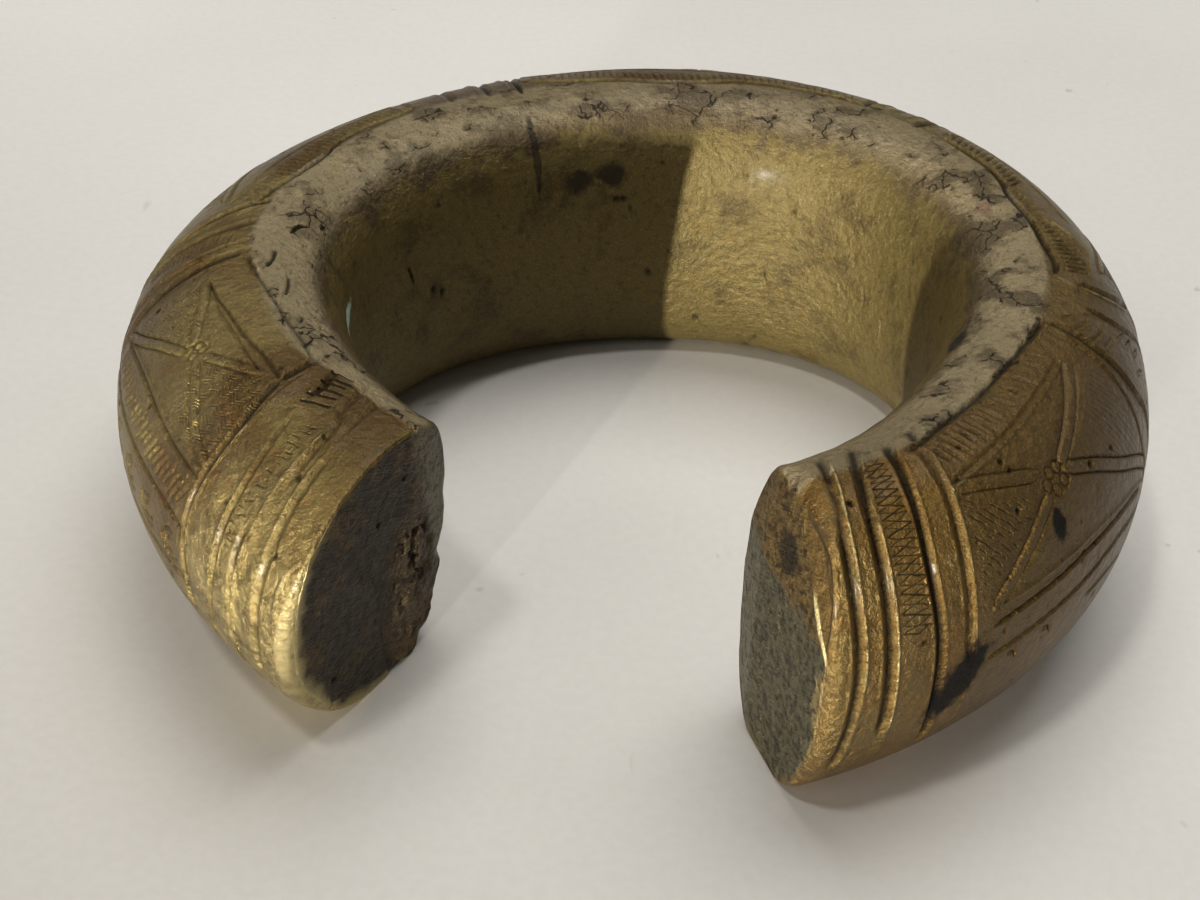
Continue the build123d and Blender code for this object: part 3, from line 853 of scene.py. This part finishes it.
def fineHatch(net, turn, fall):  # hatching too fine for the mesh, and six deep cuts: their darkness from 0 to 1
    wobble = net.noise(net.vector(turn * 0.35, fall * 0.8, 0.0), 1.0, 1.0) - 0.5

    def hatch(over, along, first, step, low, high, thick=0.3, sway=0.3):  # lines one step apart across "over"
        at = (over - first) / step + wobble * sway
        line = at.whole()
        ragged = net.chance(line + first * 7.0) - 0.5
        mark = abs(at - line + ragged * 0.16).ramp(thick, thick * 0.35)
        return mark * (along - low - ragged * 0.6).ramp(0.0, 0.35) * (high + ragged * 0.8 - along).ramp(0.0, 0.35)

    def within(value, low, high):
        return value.over(low) * value.under(high)

    # woven strokes in the left panel's two triangles, strokes along the left collar and its six deep cuts
    woven = fall + abs(turn * 0.45 - (turn * 0.45).whole()) * 1.3
    broken = net.noise(net.vector(turn * 0.9, fall * 1.1, 5.0), 1.0, 1.0).ramp(0.4, 0.56)
    marks = hatch(woven, turn, 4.6, 0.42, (7 - fall).most(0.0) * 0.34 - 128.3, -113.8 - abs(fall - 7.8) * 1.15) * within(fall, 4.3, 12.8)
    marks = marks.most(hatch(woven, turn, 6.2, 0.46, abs(fall - 8.2) - 110.0, -99.6) * within(fall, 5.8, 13.8)) * 0.48
    marks = marks.most(hatch(fall - turn * 0.2, turn, 3.2, 0.86, (6 - fall).most(0.0) * 0.2 - 137.7, (8 - fall).most(0.0) * 0.45 - 135.9,
                             0.18, 1.2) * within(fall, 3.2, 18) * 0.6) * broken
    deep = fall - (turn + 132) * 0.38
    cuts = hatch(deep, turn, -5.2, 1.35, -133.4 - deep * 0.6, -129.4 - deep * 0.6, 0.24, 0.2) * within(deep, -5.9, 2.6)
    # slanted strokes in the right panel's side triangles
    marks = marks.most(hatch(turn + fall * 0.5, fall, 104.8, 0.9, 12.2 - (117.5 - turn) * 0.36, 12.4 + (118 - turn) * 0.42, 0.22)
                       * within(turn, 103, 117) * 0.3)
    marks = marks.most(hatch(turn + fall * 0.95, fall, 130.4, 1.15, 12.0 - (turn - 125) * 0.34, 12.2 + (turn - 124.5) * 0.5, 0.2, 0.5)
                       * within(turn, 124.8, 136.2) * broken * 0.6)
    # crossed strokes between two ridges of the right collar
    bend = (6 - fall).most(0.0) * 0.25
    share = (turn + bend - 143.2) / 3.6
    crossed = fall / 2.0 + wobble * 0.4
    swing = abs(crossed - crossed.whole()) * 2
    crosses = abs(swing - share).ramp(0.13, 0.04).most(abs(swing + share - 1).ramp(0.12, 0.04) * 0.8)
    return marks.most(crosses * within(share, 0.0, 1.0) * within(fall, -1.0, 19.5) * 0.8), cuts


def makeBrass():
    material = bpy.data.materials.new("agedBrass")
    material.use_nodes = True
    net = Net(material.node_tree)
    shader = material.node_tree.nodes["Principled BSDF"]
    place = net.scaled(net.add("ShaderNodeTexCoord", out=3), 1000.0)

    def stored(name):
        return net.parts(net.add("ShaderNodeAttribute", {"attribute_name": name}, out=1))

    land, inner, face = stored("zones")
    dug, raised, pit = stored("relief")
    turn, fall, rim = stored("chart")
    across, tall, rightSide = stored("faceSpot")
    broken, torn, facet = stored("breaks")
    look = brassLook

    hatched, cuts = fineHatch(net, turn, fall)
    hatched = (hatched * (1 - land) * (1 - inner)).most(cuts) * (1 - face)
    cloud = net.noise(place, 0.06, 4.0, 0.55)
    blotch = net.noise(place, 0.2, 5.0, 0.62)
    ragged = net.noise(place, 0.5, 5.0, 0.65)
    grain = net.noise(place, 1.3, 6.0, 0.68)
    dents = net.noise(place, 0.85, 2.0, 0.5)
    fine = net.noise(place, 5.0, 3.0, 0.6)
    streak = net.noise(net.vectors("MULTIPLY", net.vector(turn, fall, 0.0), (0.5, 1.6, 1.0)), 1.0, 5.0, 0.62)

    def spot(u, v, atU, atV, wide, high, soft=0.9, fade=0.35):  # a patch with a ragged edge
        x, y = (u - atU) / wide, (v - atV) / high
        away = (x * x + y * y).root() + (ragged - 0.5) * soft + (grain - 0.5) * 0.5
        return away.ramp(1.0, 1.0 - fade)

    crackAt = net.vectors("ADD", place, net.scaled(net.noise(place, 0.6, 2.0, out=1), 2.5))
    crack = net.add("ShaderNodeTexVoronoi", {"feature": "DISTANCE_TO_EDGE"}, {"Vector": crackAt, "Scale": 0.34})
    crack = crack.ramp(0.045, 0.015) * blotch.ramp(0.5, 0.58) * land
    hatched = hatched.most(crack)
    dug = dug.most(hatched * 0.9)

    # ground of the carved outside
    colour = net.tint(cloud.ramp(0.38, 0.6), look["olive"], look["brown"])
    colour = net.tint(blotch.ramp(0.56, 0.7) * 0.45, colour, look["rust"])
    colour = net.tint(turn.ramp(134.0, 138.0) * blotch.ramp(0.6, 0.44, 0.3, 0.8), colour, look["amber"])
    colour = net.tint(turn.ramp(40.0, 112.0) * turn.ramp(139.0, 134.0) * cloud.ramp(0.62, 0.42, 0.45, 0.9), colour, look["umber"])
    handledAndSheen = fall.ramp(9.0, 22.0) * turn.ramp(-124.0, -136.0)  # worn bright towards the tips, and painted sheen of the low front light on the lower collars
    handledAndSheen = handledAndSheen.most(fall.ramp(20.0, 30.0) * turn.ramp(146.0, 152.0) * 0.2)
    colour = net.tint(handledAndSheen * ragged.ramp(0.38, 0.6, 0.1, 0.6), colour, look["gold"])

    # plain land, browner to the right, and the bore with its dark upper band
    landTone = net.tint((turn.ramp(118.0, 140.0) * 0.3).most(blotch.ramp(0.47, 0.6) * turn.ramp(-110.0, -40.0, 0.4, 0.75)), look["land"], look["landDark"])
    landTone = net.tint(abs(turn - 5).ramp(75.0, 20.0) * 0.4, landTone, look["landDark"])
    colour = net.tint(land * 0.95, colour, landTone)
    mottled = (fall + 13 + (ragged - 0.5) * 12 + (blotch - 0.5) * 16).ramp(0.0, 3.0)
    bore = net.tint(blotch.ramp(0.5, 0.66) * 0.6, look["bore"], look["boreDark"])
    bore = net.tint(ragged.ramp(0.6, 0.7) * 0.45, bore, look["ochre"])
    bore = net.tint(mottled * 0.85, bore, look["landDark"])
    colour = net.tint(inner, colour, bore)
    colour = net.tint(streak.ramp(0.55, 0.72) * (land * 0.55).most(inner * 0.35), colour, look["dirt"])
    colour = net.tint(grain.ramp(0.5, 0.72) * 0.45, colour, look["dirt"])
    colour = net.tint(fine.ramp(0.56, 0.72) * 0.2, colour, look["bright"])
    worn = across + tall * 0.92 - 12.9  # the worn outer corner of the right face starts where this is 0
    onWorn = rightSide * face * tall.ramp(-1.0, 2.5)
    # painted highlight: along the left tip's rim low on its outer side, and along the worn outer corner of the right
    # cut face
    paintedRimHighlight = (rim * (1 - rightSide) * fall.ramp(8.0, 18.0)).most(abs(worn - 0.3).ramp(0.75, 0.3) * onWorn * tall.ramp(3.2, 4.6) * tall.ramp(9.6, 8.0))
    # from here the bright raised mask also carries the painted rim highlight
    raised = raised.most(paintedRimHighlight * 0.75)
    colour = net.tint(raised.ramp(0.35, 1.0) * grain.ramp(0.64, 0.44, 0.1, 0.75), colour, look["bright"])
    colour = net.tint((dug.ramp(0.15, 0.75) * 0.88).most(pit * 0.9), colour, look["dirt"])

    # cut faces: dark on the left with a broken side and a grey facet, filed grey on the right with a brown brow
    slanted = net.vector(across + tall * 0.5, tall - across * 0.5, 0.0)
    filed = net.noise(net.vectors("MULTIPLY", slanted, (0.35, 3.2, 1.0)), 1.0, 3.0, 0.6)
    leftTone = net.tint(blotch.ramp(0.5, 0.66) * 0.4, look["leftFace"], look["facePatina"])
    leftTone = net.tint(broken * 0.7, leftTone, look["brown"])
    leftTone = net.tint(facet * 0.85, leftTone, look["facetGrey"])
    browned = (tall - 5.5 + across * 0.1 + (ragged - 0.5) * 5).ramp(-0.6, 0.6)
    rightTone = net.tint(ragged.ramp(0.5, 0.7) * 0.4, look["rightFace"], look["facetGrey"])
    rightTone = net.tint(torn * 0.7, rightTone, look["facetGrey"])
    # a pale line along the crease between face and bevel: painted highlight
    rightTone = net.tint(abs(across + 5.7 + (ragged - 0.5) * 1.5).ramp(0.8, 0.2) * 0.5, rightTone, look["file"])
    rightTone = net.tint(browned * 0.9, rightTone, look["facePatina"])
    rightTone = net.tint(spot(across, tall, -1.0, 9.2, 2.2, 2.4) * 0.85, rightTone, look["dirt"])
    rightTone = net.tint(spot(across, tall, 9.6, -1.0, 2.6, 5.4, 0.5) * 0.8, rightTone, look["crescent"])
    faceColour = net.tint(rightSide, leftTone, rightTone)
    faceColour = net.tint(filed.ramp(0.52, 0.75) * 0.3, faceColour, look["file"])
    faceColour = net.tint(grain.ramp(0.44, 0.62) * 0.8, faceColour, look["dirt"])
    # gold specks on the cut faces: painted glints
    faceColour = net.tint(fine.ramp(0.62, 0.7) * ragged.ramp(0.46, 0.56) * 0.7, faceColour, look["gold"])
    faceColour = net.tint(pit * 0.8, faceColour, look["dirt"])
    faceColour = net.tint(worn.ramp(-0.2, 0.3) * onWorn * 0.9, faceColour, look["brown"])
    # painted highlight on the cut faces' edges
    faceColour = net.tint(paintedRimHighlight * 0.8, faceColour, look["bright"])
    colour = net.tint(face, colour, faceColour)

    # stains that the photograph shows, and painted shade in a notch at the right arm's inner edge
    slantwise, crosswise = turn * 0.68 + fall * 0.73, turn * 0.73 - fall * 0.68
    stainAndNotchShade = spot(slantwise, crosswise, 113.6, 83.4, 6.2, 2.9, 1.2, 0.5)
    # the patch at 102.6 degrees is partly a dark stain and partly painted shade of a notch at the right arm's inner
    # edge
    stainAndNotchShade = stainAndNotchShade.most(spot(turn, fall, 123.8, 15.8, 1.5, 2.3)).most(spot(turn, fall, 102.6, -9.8, 4.2, 1.7) * 0.8)
    stainAndNotchShade = stainAndNotchShade.most(spot(turn, fall, -19.2, -17.5, 5.2, 1.8, 1.8, 0.6) * 0.8).most(spot(turn, fall, -12.0, -17.1, 5.6, 2.0, 1.8, 0.6) * 0.8)
    stainAndNotchShade = stainAndNotchShade.most(spot(turn, fall, -28.0, -12.0, 1.0, 8.0, 1.4) * 0.7)
    smoky = spot(turn, fall, -34.0, -8.0, 9.0, 4.0, 2.2, 0.8).most(spot(turn, fall, -3.0, -9.0, 12.0, 3.2, 2.2, 0.8))
    colour = net.tint(smoky * 0.65, colour, look["landDark"])
    colour = net.tint(stainAndNotchShade * 0.96, colour, look["stainAndNotchShade"])
    green = spot(turn, fall, -92.0, -17.8, 7.5, 0.9, 1.0, 0.6)
    colour = net.tint(green * 0.9, colour, look["verdigris"])
    colour = net.tint(spot(turn, fall, 65.2, -5.1, 3.0, 1.2, 1.2) * 0.4, colour, look["red"])
    net.feed(shader.inputs["Base Color"], colour)

    dull = (dug * 0.5).most(pit * 0.7).most(face * 0.3).most(stainAndNotchShade * 0.7).most(green * 0.8)
    net.feed(shader.inputs["Metallic"], (0.9 - land * 0.3 - inner * 0.38 - (broken * 0.4).most(green * 0.8)).most(0.0))
    shader.inputs["Specular IOR Level"].default_value = 0.3
    rough = 0.2 + grain * 0.22 + ragged * 0.12 + land * 0.08 + inner * 0.12 + dull * 0.4 - raised * 0.08 - handledAndSheen * 0.08
    net.feed(shader.inputs["Roughness"], rough.most(0.12).least(0.9))
    net.feed(shader.inputs["Coat Weight"], (0.08 - face * 0.06 - inner * 0.06 - dull * 0.16).most(0.0))
    shader.inputs["Coat Roughness"].default_value = 0.2
    smoothed = 1 - inner * 0.3
    surface = (grain * (0.7 + land * 0.7 + broken) + fine * 0.4 + dents * (1.1 + land * 0.7 + inner * 0.3)) * smoothed
    surface = surface - worn.most(0.0).least(4.0) * onWorn * 1.2
    surface = surface + streak * (land * 0.5 + inner * 0.2) + face * (filed * 0.6 + ragged * 0.7) - hatched * 0.7
    bump = net.add("ShaderNodeBump", None, {"Strength": 1.0, "Distance": 0.00032, "Height": surface})
    net.feed(shader.inputs["Normal"], bump)
    return material


brass = makeBrass()
manilla = makeRing(brass)
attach(manilla, "root")
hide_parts("manilla_casting")
print("ring dressed")
